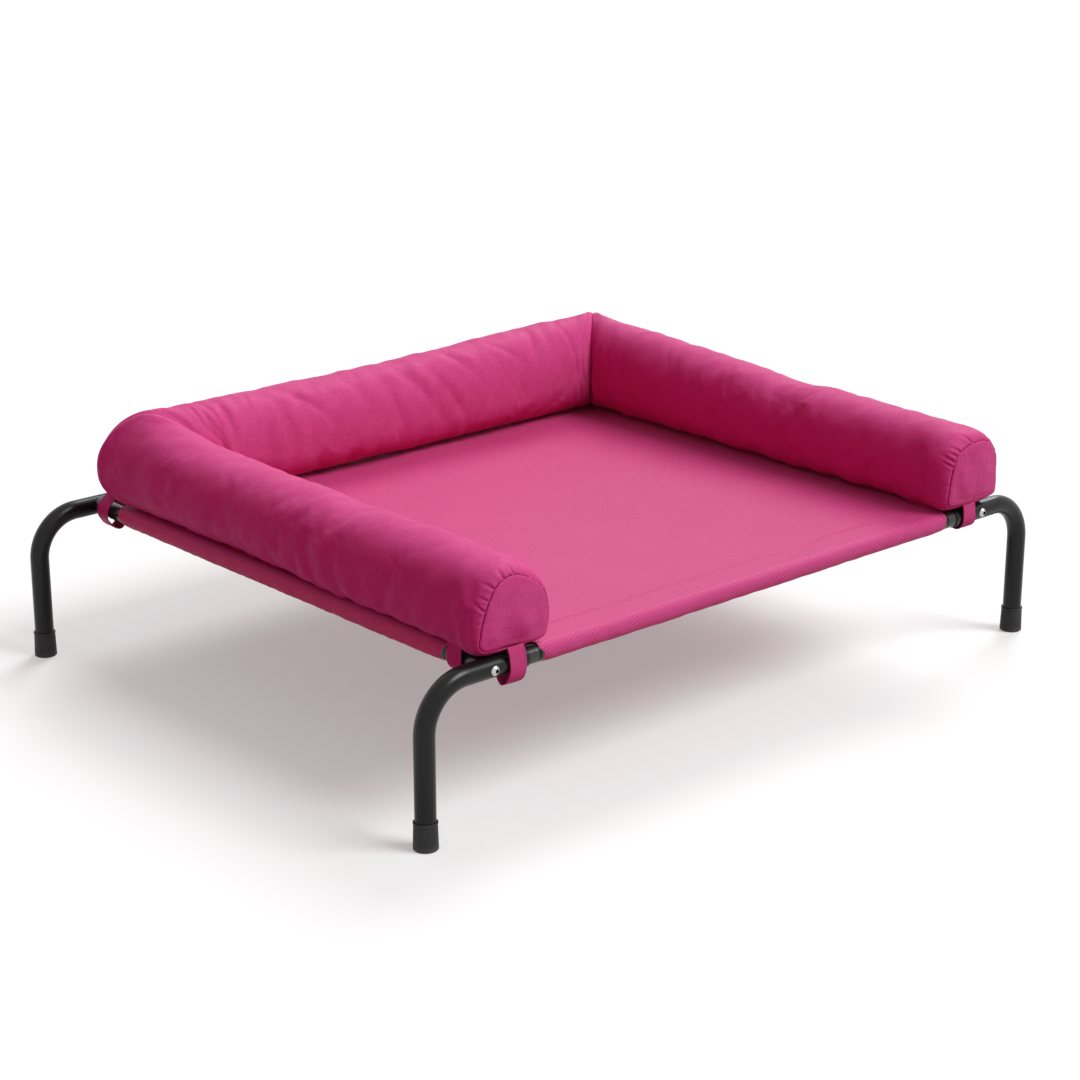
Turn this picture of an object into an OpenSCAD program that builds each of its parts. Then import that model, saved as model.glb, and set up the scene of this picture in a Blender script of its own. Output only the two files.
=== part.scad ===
// Raised cot: a bent tube frame on four legs, a taut mesh deck and a three-sided bolster.
// Millimetres. +X runs along the cot, the open front faces -Y, +Z is up.
// The origin is on the floor, under the middle of the frame.

/* [Frame] */
// Distance between the leg axes along the cot
leg_span_x = 1048; // [900:1:1300]
// Distance between the leg axes across the cot
leg_span_y = 808; // [700:1:1000]
// Height of the rail axes above the floor
rail_height = 193; // [150:1:260]
// End rail's axis, inward from the leg axis
end_rail_inset = 94; // [80:1:130]
// Outside diameter of the leg tube
leg_od = 25; // [22:0.5:32]
// Wall of the leg tube
leg_wall = 1.2; // [0.8:0.1:2]
// Radius of the leg's bend, at the tube's axis
bend_radius = 58; // [45:1:75]
// Level leg tube from the end rail's axis to its open mouth
leg_reach = 52; // [46:1:60]
// Wall of the rail tubes
rail_wall = 1.2; // [0.8:0.1:2]
// Clearance around a rail inside the leg tube
slip_fit = 0.1; // [0.05:0.05:0.3]
// Length of long rail past the bolt, inside the leg
rail_overrun = 22; // [12:1:28]
// Clearance between an end rail's saddle and the leg tube
saddle_fit = 0.1; // [0.05:0.05:0.3]

/* [Feet] */
// Height of a foot cap
foot_height = 34; // [20:1:50]
// Wall of a foot cap at the floor
foot_bottom_wall = 2.3; // [1.5:0.1:6]
// Wall of a foot cap under its rim
foot_top_wall = 1.4; // [1:0.1:5]
// Rubber under the end of the leg tube
foot_base = 4; // [2:0.5:8]
// Height of the rim at the mouth of a foot cap
foot_rim_height = 2.4; // [1:0.1:5]
// How far the rim stands out
foot_rim_out = 0.5; // [0.2:0.1:1.5]
// Chamfer round the bottom edge
foot_chamfer = 1.2; // [0.4:0.1:3]
// Clearance between a foot cap and the leg tube
foot_fit = 0.05; // [0.02:0.01:0.2]

/* [Fasteners] */
// Thread diameter of a corner bolt
bolt_d = 6; // [4:0.5:8]
// Length of a corner bolt under its head
bolt_length = 45; // [42:1:50]
// Diameter of the button head
bolt_head_d = 12; // [9:0.5:16]
// Height of the button head
bolt_head_height = 3.4; // [2.5:0.1:4.5]
// Width across the flats of the hex socket
socket_width = 4; // [3:0.5:5]
// Depth of the hex socket
socket_depth = 2.2; // [1:0.1:2.4]
// Clearance around a bolt in the tube walls
bolt_clearance = 0.3; // [0.1:0.05:0.6]
// Clearance around a bolt in its nut
thread_fit = 0.05; // [0.02:0.01:0.1]
// Length of the threaded nut in an end rail
nut_length = 20; // [14:1:30]
// How far the nut lies back from the leg tube
nut_recess = 0.8; // [0.4:0.1:3]
// Clearance between a nut and the end rail's wall
nut_fit = 0.05; // [0.02:0.01:0.2]

/* [Mesh deck] */
// Thickness of the mesh
mesh_thickness = 1.2; // [0.8:0.1:2]
// Clearance between a hem and its rail
hem_fit = 0.3; // [0.1:0.1:1]
// Hem from the rail's axis to its inner edge
hem_width = 40; // [30:1:60]
// Width of the sewn double layer at the hem's inner edge
hem_seam = 8; // [4:1:15]
// Bare long rail between the mouth of a leg and the hem
bare_rail = 18; // [5:1:60]
// Bare end rail between a strap and the hem
strap_gap = 1; // [0.5:0.5:20]

/* [Bolster] */
// Arm's centre line, inward from the end rail's axis
arm_inset = 30; // [20:1:36]
// Back bolster's centre line, inward from the back leg axis
back_inset = 88; // [60:1:92]
// Seams of the end panels, ahead of the front leg axis
panel_overhang = 7; // [0:0.5:12]
// Width of the bolster at its belly
bolster_width = 110; // [100:1:140]
// Width of the flat that the bolster rests on
bolster_flat = 68; // [56:1:90]
// Height of the belly above the flat
bolster_belly = 45; // [35:1:55]
// Height of the back bolster and of the mitred corners
back_height = 132; // [115:1:160]
// Height that the arms fall to at the front
arm_height = 106; // [98:1:115]
// How much narrower than the bolster an end panel's seam is
panel_narrowing = 7; // [2:0.5:20]
// How much lower than the arm an end panel's seam is
panel_lowering = 18; // [4:0.5:25]
// How far an end panel's seam clears the level that the bolster rests at
panel_lift = 6; // [2:0.5:12]
// Length over which an arm draws in to its end panel
draw_in = 46; // [15:1:60]
// Length over which an arm's underside curls up to its end panel
curl_up = 20; // [10:1:30]
// How far an end panel swells
panel_swell = 6; // [3:0.5:12]
// Length over which the sections turn to the mitre
mitre_turn = 130; // [80:5:200]
// Thickness of the cover
cover_thickness = 1.2; // [0.8:0.1:3]
// Clearance between the stuffing and the cover
stuffing_fit = 0.4; // [0.2:0.1:2]
// Clearance under the bolster, over the tubes and the mesh
bolster_fit = 0.35; // [0.2:0.05:1]

/* [Straps] */
// Width of the strap tape
strap_width = 24; // [15:1:30]
// Thickness of the strap tape
strap_thickness = 1.4; // [0.8:0.1:2]
// Play between a strap and the leg tube
strap_play = 0.8; // [0.4:0.1:2]
// Strap on the leg tube, inward from the end rail's axis
leg_strap_inset = 30; // [27:1:36]
// Front strap on an end rail, inward from the leg axis
front_strap_inset = 43; // [32:1:50]
// Back strap on an end rail, inward from the leg axis
back_strap_inset = 52; // [46:1:60]
// How far a slack strap hangs below its snug loop
slack_hang = 9.7; // [4:0.1:20]
// How far a snug strap hangs below its loop
snug_hang = 2.2; // [1:0.1:6]

/* [Hidden] */
$fn = 96;

// Colours of the finishes
tube_black = [0.06, 0.06, 0.065];
rubber_black = [0.04, 0.04, 0.04];
zinc = [0.8, 0.8, 0.8];
mesh_magenta = [0.6, 0.1, 0.33];
cover_magenta = [0.66, 0.14, 0.38];
stuffing_white = [0.93, 0.93, 0.9];

// Frame places worked out from the driving sizes
leg_x = leg_span_x / 2;
leg_y = leg_span_y / 2;
end_rail_x = leg_x - end_rail_inset;
leg_mouth_x = end_rail_x - leg_reach;
leg_r = leg_od / 2;
leg_bore_r = leg_r - leg_wall;
rail_r = leg_bore_r - slip_fit;
rail_bore_r = rail_r - rail_wall;
long_rail_length = 2 * (end_rail_x + rail_overrun);
bolt_hole_d = bolt_d + 2 * bolt_clearance;

// Deck and the level that the bolster rests at
hem_r = rail_r + hem_fit + mesh_thickness;
long_hem_length = 2 * (leg_mouth_x - bare_rail);
end_hem_inset = max(front_strap_inset, back_strap_inset) + strap_width / 2 + strap_gap;
end_hem_length = 2 * (leg_y - end_hem_inset);
deck_x = end_rail_x - hem_width;
deck_y = leg_y - hem_width;
rest_z = rail_height + max(hem_r, leg_r) + bolster_fit;

// Bolster sections: a flat base, a full belly and a round crown
section_power = 2.5;
section_points = 22;
arm_x = end_rail_x - arm_inset;
bolster_front = leg_y + panel_overhang;
bolster_back = leg_y - back_inset;
panel_width = bolster_width - panel_narrowing;
panel_height = arm_height - panel_lowering - panel_lift;
panel_middle = panel_height / 2;
crown_power = 5;
corner_power = 6;
inner_x = arm_x - bolster_width / 2;
inner_y = bolster_back - bolster_width / 2;
end_steps = [0, 0.05, 0.2, 0.5, 1];
arm_steps = 5;
back_steps = 5;
turn_steps = [0.35, 0.65, 0.85, 1];
panel_rings = [1, 0.93, 0.75, 0.45];
panel_dome_power = 0.7;
stuffing_inset = cover_thickness + stuffing_fit;

// Straps
strap_r = leg_r + strap_play;
slack_drop = strap_r + slack_hang;
snug_drop = strap_r + snug_hang;

// Turns what is drawn at the back right corner to another corner
module corner(side, end) {
  mirror([side < 0 ? 1 : 0, 0, 0])
    mirror([0, end < 0 ? 1 : 0, 0])
      children();
}

// A round bar along the leg's path; over lengthens both ends
module leg_path(radius, over) {
  bend_top = rail_height - bend_radius;
  translate([leg_x, leg_y, foot_base - over])
    cylinder(r = radius, h = bend_top - foot_base + over);
  translate([leg_x - bend_radius, leg_y, bend_top])
    rotate([90, 0, 0])
      rotate_extrude(angle = 90)
        translate([bend_radius, 0])
          circle(radius);
  translate([leg_x - bend_radius, leg_y, rail_height])
    rotate([0, -90, 0])
      cylinder(r = radius, h = leg_x - bend_radius - leg_mouth_x + over);
}

// The bolt's hole, right through the leg and the rail in it
module bolt_hole() {
  translate([end_rail_x, leg_y, rail_height])
    rotate([90, 0, 0])
      cylinder(d = bolt_hole_d, h = 2 * leg_od, center = true);
}

module leg(side, end) {
  color(tube_black)
    corner(side, end)
      difference() {
        leg_path(leg_r, 0);
        leg_path(leg_bore_r, 1);
        bolt_hole();
      }
}

module foot(side, end) {
  bore_r = leg_r + foot_fit;
  bottom_r = bore_r + foot_bottom_wall;
  top_r = bore_r + foot_top_wall;
  rim_r = top_r + foot_rim_out;
  rim_z = foot_height - foot_rim_height;
  color(rubber_black)
    corner(side, end)
      translate([leg_x, leg_y, 0])
        rotate_extrude()
          polygon([
            [0, 0], [bottom_r - foot_chamfer, 0], [bottom_r, foot_chamfer],
            [top_r, rim_z - foot_rim_out], [rim_r, rim_z],
            [rim_r, foot_height - foot_rim_out], [rim_r - foot_rim_out, foot_height],
            [bore_r, foot_height], [bore_r, foot_base], [0, foot_base]
          ]);
}

module long_rail(end) {
  color(tube_black)
    mirror([0, end < 0 ? 1 : 0, 0])
      difference() {
        translate([0, leg_y, rail_height])
          rotate([0, 90, 0])
            difference() {
              cylinder(r = rail_r, h = long_rail_length, center = true);
              cylinder(r = rail_bore_r, h = long_rail_length + 2, center = true);
            }
        for (side = [-1, 1])
          corner(side, 1)
            bolt_hole();
      }
}

module end_rail(side) {
  color(tube_black)
    translate([side * end_rail_x, 0, rail_height])
      difference() {
        rotate([90, 0, 0])
          difference() {
            cylinder(r = rail_r, h = leg_span_y, center = true);
            cylinder(r = rail_bore_r, h = leg_span_y + 2, center = true);
          }
        for (end = [-1, 1])
          translate([0, end * leg_y, 0])
            rotate([0, 90, 0])
              cylinder(r = leg_r + saddle_fit, h = 4 * rail_r, center = true);
      }
}

module nut(side, end) {
  color(zinc)
    corner(side, end)
      translate([end_rail_x, leg_y - leg_r - nut_recess, rail_height])
        rotate([90, 0, 0])
          difference() {
            cylinder(r = rail_bore_r - nut_fit, h = nut_length);
            translate([0, 0, -1])
              cylinder(d = bolt_d + 2 * thread_fit, h = nut_length + 2);
          }
}

// The head is a slice of a ball, with a hex socket in its crown
module bolt(side, end) {
  ball_r = (pow(bolt_head_d / 2, 2) + pow(bolt_head_height, 2)) / (2 * bolt_head_height);
  color(zinc)
    corner(side, end)
      translate([end_rail_x, leg_y + leg_r, rail_height])
        rotate([-90, 0, 0])
          difference() {
            union() {
              intersection() {
                translate([0, 0, bolt_head_height - ball_r])
                  sphere(ball_r);
                cylinder(d = bolt_head_d, h = bolt_head_height);
              }
              translate([0, 0, -bolt_length])
                cylinder(d = bolt_d, h = bolt_length + 1);
            }
            translate([0, 0, bolt_head_height - socket_depth])
              cylinder(d = socket_width / cos(30), h = socket_depth + 1, $fn = 6);
          }
}

module mesh_deck() {
  color(mesh_magenta)
    translate([0, 0, rail_height + hem_r - mesh_thickness])
      linear_extrude(mesh_thickness)
        union() {
          square([2 * deck_x, end_hem_length], center = true);
          square([long_hem_length, 2 * deck_y], center = true);
        }
}

// A bar along a loop drawn tight round the rail: a circle and the wedge between its tangents
module hem_bar(radius, tangent, length) {
  cylinder(r = radius, h = length, center = true);
  linear_extrude(length, center = true)
    polygon([
      [0, 0], [0, radius], [radius * (1 - sin(tangent)) / cos(tangent), radius],
      [radius * cos(tangent), radius * sin(tangent)]
    ]);
}

// A hem along Z: the loop round the rail, closed by the sewn double layer
module hem(length) {
  seam_u = hem_width - hem_seam;
  seam_v = hem_r - 2 * mesh_thickness;
  tangent = atan2(seam_v, seam_u) - acos(hem_r / norm([seam_u, seam_v]));
  difference() {
    union() {
      hem_bar(hem_r, tangent, length);
      linear_extrude(length, center = true)
        translate([seam_u - hem_seam, seam_v])
          square([2 * hem_seam, 2 * mesh_thickness]);
    }
    hem_bar(hem_r - mesh_thickness, tangent, length + 2);
  }
}

module long_hem(end) {
  color(mesh_magenta)
    mirror([0, end > 0 ? 1 : 0, 0])
      translate([0, -leg_y, rail_height])
        rotate([90, 0, 90])
          hem(long_hem_length);
}

module end_hem(side) {
  color(mesh_magenta)
    mirror([side > 0 ? 1 : 0, 0, 0])
      translate([-end_rail_x, 0, rail_height])
        rotate([90, 0, 0])
          hem(end_hem_length);
}

// Points of a bolster's section, [across, up], from one edge of the flat over the crown
function section(width, height, inset) =
  let (
    flat = bolster_flat * width / bolster_width,
    share = pow(flat / width, section_power),
    below = bolster_belly / pow(1 - share, 1 / section_power),
    start = asin(sqrt(1 - share)),
    squeeze = (height - 2 * inset) / height
  )
  [
    for (i = [0 : section_points - 1])
      let (
        turn = -start + i * (180 + 2 * start) / (section_points - 1),
        across = sign(cos(turn)) * pow(abs(cos(turn)), 2 / section_power),
        up = sign(sin(turn)) * pow(abs(sin(turn)), 2 / section_power),
        reach = up < 0 ? below : height - bolster_belly
      )
      [(width / 2 - inset) * across, inset + squeeze * max(0, bolster_belly + reach * up)]
  ];

// How full an arm is, from its end panel's seam at 0 to its whole section at 1
function fullness(y, length) =
  let (t = min(1, (y + bolster_front) / length))
  sqrt(1 - pow(1 - t, 2));

// Height of an arm, which climbs to the back bolster's near the corner
function arm_crown(y) =
  let (t = (y + bolster_front) / (bolster_back + bolster_front))
  arm_height + (back_height - arm_height) * pow(t, crown_power);

// A point outside the inner corner, drawn in so that the outside of the corner is round
function rounded(p) =
  let (
    a = abs(p[0]) - inner_x,
    b = p[1] - inner_y
  )
  a <= 0 || b <= 0
    ? p
    : let (share = max(a, b) / pow(pow(a, corner_power) + pow(b, corner_power), 1 / corner_power))
      [sign(p[0]) * (inner_x + share * a), inner_y + share * b, p[2]];

// One ring of the left arm, turned to the mitre near the back corner
function arm_ring(y, inset) =
  let (
    full = fullness(y, draw_in),
    lift = panel_lift * (1 - fullness(y, curl_up)),
    seam_top = panel_height + panel_lift,
    width = panel_width + (bolster_width - panel_width) * full,
    height = seam_top + (arm_crown(y) - seam_top) * full - lift,
    lean = max(0, 1 - (bolster_back - y) / mitre_turn)
  )
  [
    for (p = section(width, height, inset))
      rounded([p[0] - arm_x, y - lean * p[0], rest_z + lift + p[1]])
  ];

// Rings of the left arm from its end panel back to the mitre
function arm_rings(inset) =
  let (
    straight = draw_in - bolster_front,
    turn = bolster_back - mitre_turn
  )
  concat(
    [for (t = end_steps) arm_ring(t * draw_in - bolster_front, inset)],
    [for (i = [1 : arm_steps]) arm_ring(straight + (turn - straight) * i / arm_steps, inset)],
    [for (t = turn_steps) arm_ring(turn + t * mitre_turn, inset)]
  );

// Rings of the back bolster from the right mitre to the left
function back_rings(inset) =
  let (
    turn = arm_x - mitre_turn,
    turns = [for (i = [len(turn_steps) - 1 : -1 : 0]) turn + turn_steps[i] * mitre_turn],
    places = concat(
      turns,
      [for (i = [0 : back_steps]) turn * (1 - 2 * i / back_steps)],
      [for (t = turn_steps) -turn - t * mitre_turn]
    )
  )
  [
    for (x = places)
      let (lean = sign(x) * max(0, 1 - (arm_x - abs(x)) / mitre_turn))
      [
        for (p = section(bolster_width, back_height, inset))
          rounded([x + lean * p[0], bolster_back + p[0], rest_z + p[1]])
      ]
  ];

// Triangles of the band between two rings that start at points a and b
function band(a, b, count) =
  [
    for (i = [0 : count - 1])
      let (j = (i + 1) % count)
      each [[a + i, a + j, b + j], [a + i, b + j, b + i]]
  ];

// Triangles of all bands along a run of rings
function bands(first, rings, count) =
  [for (k = [0 : rings - 2]) each band(first + k * count, first + (k + 1) * count, count)];

// Triangles that close a ring with a fan
function fan(first, count) =
  [for (i = [1 : count - 2]) [first, first + i + 1, first + i]];

function reversed(faces) = [for (f = faces) [f[2], f[1], f[0]]];

// A tube of fabric between two runs of rings, open at both ends
module fabric_tube(outer, inner) {
  count = len(outer[0]);
  rings = len(outer);
  inner_first = rings * count;
  last = (rings - 1) * count;
  polyhedron(
    points = [each each outer, each each inner],
    faces = concat(
      bands(0, rings, count),
      reversed(bands(inner_first, rings, count)),
      reversed(band(0, inner_first, count)),
      band(last, inner_first + last, count)
    )
  );
}

// A solid along a run of rings
module filled_tube(outer) {
  count = len(outer[0]);
  rings = len(outer);
  polyhedron(
    points = [each each outer],
    faces = concat(
      bands(0, rings, count),
      fan(0, count),
      reversed(fan((rings - 1) * count, count))
    )
  );
}

module arm_cover(side) {
  color(cover_magenta)
    mirror([side > 0 ? 1 : 0, 0, 0])
      fabric_tube(arm_rings(0), arm_rings(cover_thickness));
}

module back_bolster_cover() {
  color(cover_magenta)
    fabric_tube(back_rings(0), back_rings(cover_thickness));
}

module arm_stuffing(side) {
  color(stuffing_white)
    mirror([side > 0 ? 1 : 0, 0, 0])
      filled_tube(arm_rings(stuffing_inset));
}

module back_bolster_stuffing() {
  color(stuffing_white)
    filled_tube(back_rings(stuffing_inset));
}

// One ring of an end panel, drawn in about its middle and swollen forward
function panel_ring(share, back) =
  let (swell = panel_swell * pow(1 - share * share, panel_dome_power))
  [
    for (p = section(panel_width, panel_height, 0))
      [
        share * p[0] - arm_x,
        -bolster_front - swell - (back ? 0 : cover_thickness),
        rest_z + panel_lift + panel_middle + share * (p[1] - panel_middle)
      ]
  ];

// A domed panel of fabric, sewn to the drawn-in end of an arm
module end_panel(side) {
  count = section_points;
  rings = len(panel_rings);
  back_first = rings * count;
  front = [for (s = panel_rings) each panel_ring(s, false)];
  back = [for (s = panel_rings) each panel_ring(s, true)];
  inmost = (rings - 1) * count;
  color(cover_magenta)
    mirror([side > 0 ? 1 : 0, 0, 0])
      polyhedron(
        points = concat(front, back),
        faces = concat(
          reversed(bands(0, rings, count)),
          fan(inmost, count),
          bands(back_first, rings, count),
          reversed(fan(back_first + inmost, count)),
          band(0, back_first, count)
        )
      );
}

// A drop shape: a circle with its two tangents brought to a point below it
module drop_shape(radius, drop) {
  spread = acos(radius / drop);
  circle(radius);
  polygon([
    [0, 0], [-radius * sin(spread), -radius * cos(spread)],
    [0, -drop], [radius * sin(spread), -radius * cos(spread)]
  ]);
}

// A loop of tape round a tube's axis, cut off where the bolster rests on its ends
module strap_loop(drop) {
  outer_r = strap_r + strap_thickness;
  outer_drop = drop * outer_r / strap_r;
  reach = outer_r + outer_drop;
  linear_extrude(strap_width, center = true)
    intersection() {
      difference() {
        drop_shape(outer_r, outer_drop);
        drop_shape(strap_r, drop);
      }
      translate([-reach, -reach])
        square([2 * reach, reach + rest_z - rail_height]);
    }
}

module leg_strap(side, drop) {
  color(cover_magenta)
    translate([side * (end_rail_x - leg_strap_inset), -leg_y, rail_height])
      rotate([90, 0, 90])
        strap_loop(drop);
}

module rail_strap(side, y, drop) {
  color(cover_magenta)
    translate([side * end_rail_x, y, rail_height])
      rotate([90, 0, 0])
        strap_loop(drop);
}

leg(-1, -1);  // front_left_leg
leg(1, -1);  // front_right_leg
leg(-1, 1);  // back_left_leg
leg(1, 1);  // back_right_leg

foot(-1, -1);  // front_left_foot
foot(1, -1);  // front_right_foot
foot(-1, 1);  // back_left_foot
foot(1, 1);  // back_right_foot

long_rail(-1);  // front_rail
long_rail(1);  // back_rail
end_rail(-1);  // left_end_rail
end_rail(1);  // right_end_rail

nut(-1, -1);  // front_left_nut
nut(1, -1);  // front_right_nut
nut(-1, 1);  // back_left_nut
nut(1, 1);  // back_right_nut

bolt(-1, -1);  // front_left_bolt
bolt(1, -1);  // front_right_bolt
bolt(-1, 1);  // back_left_bolt
bolt(1, 1);  // back_right_bolt

mesh_deck();
long_hem(-1);  // front_hem
long_hem(1);  // back_hem
end_hem(-1);  // left_hem
end_hem(1);  // right_hem

arm_cover(-1);  // left_arm_cover
back_bolster_cover();
arm_cover(1);  // right_arm_cover
end_panel(-1);  // left_end_panel
end_panel(1);  // right_end_panel
arm_stuffing(-1);  // left_arm_stuffing
back_bolster_stuffing();
arm_stuffing(1);  // right_arm_stuffing

leg_strap(-1, slack_drop);  // front_left_leg_strap
leg_strap(1, snug_drop);  // front_right_leg_strap
rail_strap(-1, front_strap_inset - leg_y, snug_drop);  // front_left_rail_strap
rail_strap(1, front_strap_inset - leg_y, snug_drop);  // front_right_rail_strap
rail_strap(-1, leg_y - back_strap_inset, slack_drop);  // back_left_rail_strap
rail_strap(1, leg_y - back_strap_inset, slack_drop);  // back_right_rail_strap
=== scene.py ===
import math

import bpy
import numpy as np
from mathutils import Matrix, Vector


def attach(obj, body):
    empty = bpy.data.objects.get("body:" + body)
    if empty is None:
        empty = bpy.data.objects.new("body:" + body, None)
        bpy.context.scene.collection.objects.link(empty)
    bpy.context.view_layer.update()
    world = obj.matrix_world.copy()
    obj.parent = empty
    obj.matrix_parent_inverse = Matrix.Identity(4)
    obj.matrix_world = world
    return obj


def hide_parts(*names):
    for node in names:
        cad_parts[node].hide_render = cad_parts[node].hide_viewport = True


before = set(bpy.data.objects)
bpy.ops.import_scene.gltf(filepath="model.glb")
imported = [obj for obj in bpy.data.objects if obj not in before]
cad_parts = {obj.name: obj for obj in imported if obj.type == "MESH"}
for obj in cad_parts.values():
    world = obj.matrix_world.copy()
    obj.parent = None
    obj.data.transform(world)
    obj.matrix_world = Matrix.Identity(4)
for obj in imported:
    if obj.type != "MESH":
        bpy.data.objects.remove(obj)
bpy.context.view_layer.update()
bpy.ops.object.select_all(action="DESELECT")

# Leg tubes and rails
# Round steel tube: the legs bent cold and powder coated satin black, the rails straight and satin grey.
# The rails slip into the legs' level ends, and a bolt at each corner draws the frame together.
mm = 0.001
LONG_HEM, END_HEM = 720 * mm, 678 * mm


def place(tree, kind, inputs=(), **settings):
    """Adds a node with its settings, and fills its sockets with values or links."""
    node = tree.nodes.new(kind)
    for name, value in settings.items():
        setattr(node, name, value)
    for socket, value in dict(inputs).items():
        if isinstance(value, bpy.types.NodeSocket):
            tree.links.new(value, node.inputs[socket])
        else:
            node.inputs[socket].default_value = value
    return node


def new_group(name, inputs, outputs):
    """An empty shader group with number or vector inputs and number outputs."""
    tree = bpy.data.node_groups.new(name, "ShaderNodeTree")
    for socket, value in inputs.items():
        kind = "NodeSocketVector" if isinstance(value, tuple) else "NodeSocketFloat"
        made = tree.interface.new_socket(name=socket, in_out="INPUT", socket_type=kind)
        made.default_value = value
    for socket in outputs:
        tree.interface.new_socket(name=socket, in_out="OUTPUT", socket_type="NodeSocketFloat")
    return tree, tree.nodes.new("NodeGroupInput"), tree.nodes.new("NodeGroupOutput")


def used(tree, group, inputs=()):
    """Puts a group into a material, and gives its outputs."""
    return place(tree, "ShaderNodeGroup", inputs, node_tree=group).outputs


def new_finish(name):
    finish = bpy.data.materials.new(name)
    finish.use_nodes = True
    return finish, finish.node_tree, finish.node_tree.nodes["Principled BSDF"]


def mixed(tree, share, first, second):
    """A colour between two, by share."""
    mix = place(tree, "ShaderNodeMix", data_type="RGBA", clamp_factor=True)
    for socket, value in ((0, share), (6, first), (7, second)):
        if isinstance(value, bpy.types.NodeSocket):
            tree.links.new(value, mix.inputs[socket])
        else:
            mix.inputs[socket].default_value = (*value, 1.0)
    return mix.outputs[2]


def ranged(tree, share, low, high, start=0.0, end=1.0):
    """A number from low to high, as share goes from start to end."""
    span = {"Value": share, "From Min": start, "From Max": end, "To Min": low, "To Max": high}
    return place(tree, "ShaderNodeMapRange", span).outputs["Result"]


def math_node(tree, operation, *values):
    return place(tree, "ShaderNodeMath", dict(enumerate(values)), operation=operation).outputs[0]


def noise(tree, spot, scale, detail):
    return place(tree, "ShaderNodeTexNoise", {"Vector": spot, "Scale": scale, "Detail": detail}).outputs["Fac"]


def relief(tree, height, depth):
    return place(tree, "ShaderNodeBump", {"Height": height, "Distance": depth}).outputs["Normal"]


def dress(shader, tree, links, constants):
    """Links and constants on a shader's sockets."""
    for socket, value in links.items():
        tree.links.new(value, shader.inputs[socket])
    for socket, value in constants.items():
        shader.inputs[socket].default_value = value


def wear_finish(finish, names):
    for name in names:
        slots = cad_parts[name].data.materials
        slots.clear()
        slots.append(finish)


grain_tree, asked, put = new_group("Surface grain", {"Grains": 1500.0, "Patches": 20.0}, ["Grain", "Patch"])
spot = place(grain_tree, "ShaderNodeTexCoord").outputs["Object"]
for wanted, output, detail in (("Grains", "Grain", 1.0), ("Patches", "Patch", 4.0)):
    grain_tree.links.new(noise(grain_tree, spot, asked.outputs[wanted], detail), put.inputs[output])

CORNERS = ["front_left", "front_right", "back_left", "back_right"]
coat, tree, shader = new_finish("satin_black_coat")
skin = used(tree, grain_tree, {"Grains": 900.0, "Patches": 14.0})
dress(shader, tree, {
    "Base Color": mixed(tree, skin["Patch"], (0.004, 0.004, 0.004), (0.009, 0.009, 0.009)),
    "Roughness": ranged(tree, skin["Patch"], 0.20, 0.32, 0.3, 0.7),
    "Normal": relief(tree, skin["Grain"], 0.05 * mm),
}, {"Specular IOR Level": 0.25})
wear_finish(coat, [f"{c}_leg" for c in CORNERS])
grey_coat, tree, shader = new_finish("satin_grey_coat")
skin = used(tree, grain_tree, {"Grains": 1100.0, "Patches": 30.0})
spot = place(tree, "ShaderNodeSeparateXYZ", {"Vector": place(tree, "ShaderNodeTexCoord").outputs["Object"]})
# Painted shade: a near-black ring on each rail at the mouths of the hem sleeves stands for the shade the sleeve edge
# casts there.
sleeve_mouth_shade = []
for axis, hem_end in (("X", LONG_HEM / 2), ("Y", END_HEM / 2)):
    past = math_node(tree, "SUBTRACT", math_node(tree, "ABSOLUTE", spot.outputs[axis]), hem_end + 0.5 * mm)
    sleeve_mouth_shade.append(ranged(tree, math_node(tree, "ABSOLUTE", past), 1.0, 0.0, 1.8 * mm, 3.0 * mm))
paint = mixed(tree, skin["Patch"], (0.034, 0.034, 0.034), (0.062, 0.061, 0.060))
dress(shader, tree, {
    "Base Color": mixed(tree, math_node(tree, "MAXIMUM", *sleeve_mouth_shade), paint, (0.004, 0.004, 0.004)),
    "Roughness": ranged(tree, skin["Patch"], 0.18, 0.28, 0.3, 0.7),
    "Normal": relief(tree, skin["Grain"], 0.04 * mm),
}, {"Metallic": 0.6})
wear_finish(grey_coat, ["front_rail", "back_rail", "left_end_rail", "right_end_rail"])

# Foot caps
# Moulded black rubber cups with a rolled rim, pushed onto the legs' cut ends.
# Their bottom edges pick up a little dust from the floor.
rubber, tree, shader = new_finish("foot_rubber")
skin = used(tree, grain_tree, {"Grains": 1300.0, "Patches": 60.0})
spot = place(tree, "ShaderNodeTexCoord").outputs["Object"]
height = place(tree, "ShaderNodeSeparateXYZ", {"Vector": spot}).outputs["Z"]
low_edge = ranged(tree, height, 1.0, 0.0, 0.0, 9 * mm)
dust = math_node(tree, "MULTIPLY", low_edge, skin["Patch"])
black = mixed(tree, skin["Patch"], (0.010, 0.010, 0.010), (0.019, 0.019, 0.019))
dress(shader, tree, {
    "Base Color": mixed(tree, dust, black, (0.09, 0.085, 0.08)),
    "Roughness": ranged(tree, skin["Patch"], 0.52, 0.72, 0.3, 0.7),
    "Normal": relief(tree, skin["Grain"], 0.10 * mm),
}, {"Specular IOR Level": 0.4})
wear_finish(rubber, [f"{c}_foot" for c in CORNERS])
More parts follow.
